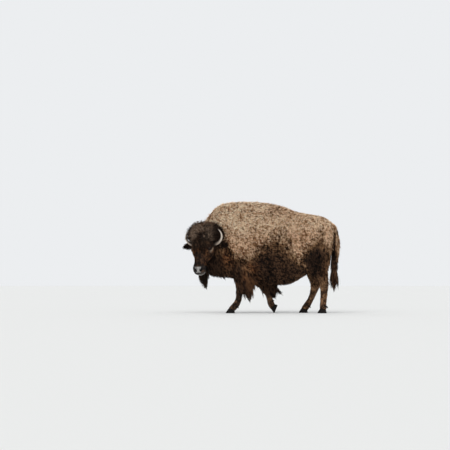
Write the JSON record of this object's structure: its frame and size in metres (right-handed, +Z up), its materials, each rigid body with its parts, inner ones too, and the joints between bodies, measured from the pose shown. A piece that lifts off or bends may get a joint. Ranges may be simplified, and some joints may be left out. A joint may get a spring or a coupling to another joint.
{
  "type": "bison",
  "caption": "Life-size still model of an American bison cow in winter coat, in mid-step with her head turned to her left.",
  "frame": {"origin": "on the floor, under the middle of the animal's box", "axes": "she faces -X, her right side is +Y and her left side is -Y, and +Z is up; her head is turned to -Y"},
  "size_m": [2.2736, 0.783, 1.6285],
  "materials": {
    "coat": "matte",
    "dark_coat": "matte",
    "long_hair": "matte",
    "horn": "satin",
    "hoof": "satin",
    "eye": "gloss"
  },
  "bodies": {
    "root": {"left_fore_claw_outer": "hoof", "left_fore_claw_inner": "hoof", "left_fore_dewclaw_outer": "hoof", "left_fore_dewclaw_inner": "hoof", "right_fore_claw_outer": "hoof", "right_fore_claw_inner": "hoof", "right_fore_dewclaw_outer": "hoof", "right_fore_dewclaw_inner": "hoof", "left_hind_claw_outer": "hoof", "left_hind_claw_inner": "hoof", "left_hind_dewclaw_outer": "hoof", "left_hind_dewclaw_inner": "hoof", "right_hind_claw_outer": "hoof", "right_hind_claw_inner": "hoof", "right_hind_dewclaw_outer": "hoof", "right_hind_dewclaw_inner": "hoof", "left_foreleg_upper": "dark_coat", "left_foreleg_lower": "dark_coat", "right_foreleg_upper": "dark_coat", "right_foreleg_lower": "dark_coat", "left_hindleg_upper": "dark_coat", "left_hindleg_lower": "dark_coat", "right_hindleg_upper": "dark_coat", "right_hindleg_lower": "dark_coat", "lower_jaw": "dark_coat", "head": "dark_coat", "left_horn": "horn", "left_ear": "long_hair", "left_eye": "eye", "right_horn": "horn", "right_ear": "long_hair", "right_eye": "eye", "bonnet": "long_hair", "beard": "long_hair", "neck": "dark_coat", "trunk": "coat", "tail": "coat", "tail_tuft": "long_hair", "left_fore_chaps": "long_hair", "right_fore_chaps": "long_hair"}
  },
  "joints": []
}
